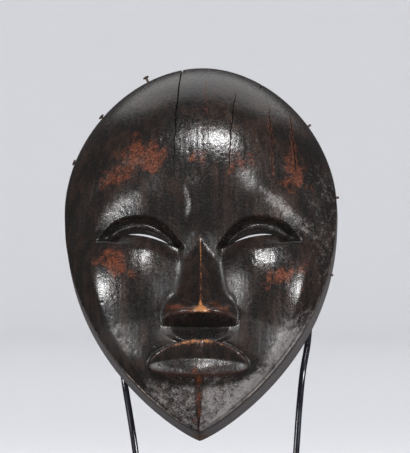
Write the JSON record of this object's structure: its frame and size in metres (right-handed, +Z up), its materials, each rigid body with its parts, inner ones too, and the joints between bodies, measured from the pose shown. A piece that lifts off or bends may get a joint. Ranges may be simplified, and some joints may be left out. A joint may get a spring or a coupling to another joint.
{
  "type": "carved face mask on display stand",
  "caption": "Carved wooden face mask in the Dan manner with slit eyes, hollow behind, leaning back on a display stand of bent black rods with a flat foot.",
  "frame": {"origin": "centre of the flat underside of the stand's foot", "axes": "+Z up; the face looks along -Y and leans back towards +Y; +X to the viewer's right"},
  "size_m": [0.1732, 0.1171, 0.3077],
  "materials": {
    "carved_wood": "dark brown-black handling patina, half gloss, worn reddish brown on forehead, cheeks and nose",
    "nail_iron": "dark rusted iron",
    "stand_metal": "gloss black paint"
  },
  "bodies": {
    "root": {"mask": "carved_wood", "rim_nail_left_top": "nail_iron", "rim_nail_left_middle": "nail_iron", "rim_nail_left_low": "nail_iron", "rim_nail_right_top": "nail_iron", "rim_nail_right_middle": "nail_iron", "rim_nail_right_low": "nail_iron", "stand_rod_left": "stand_metal", "stand_rod_right": "stand_metal", "stand_base": "stand_metal"}
  },
  "joints": []
}
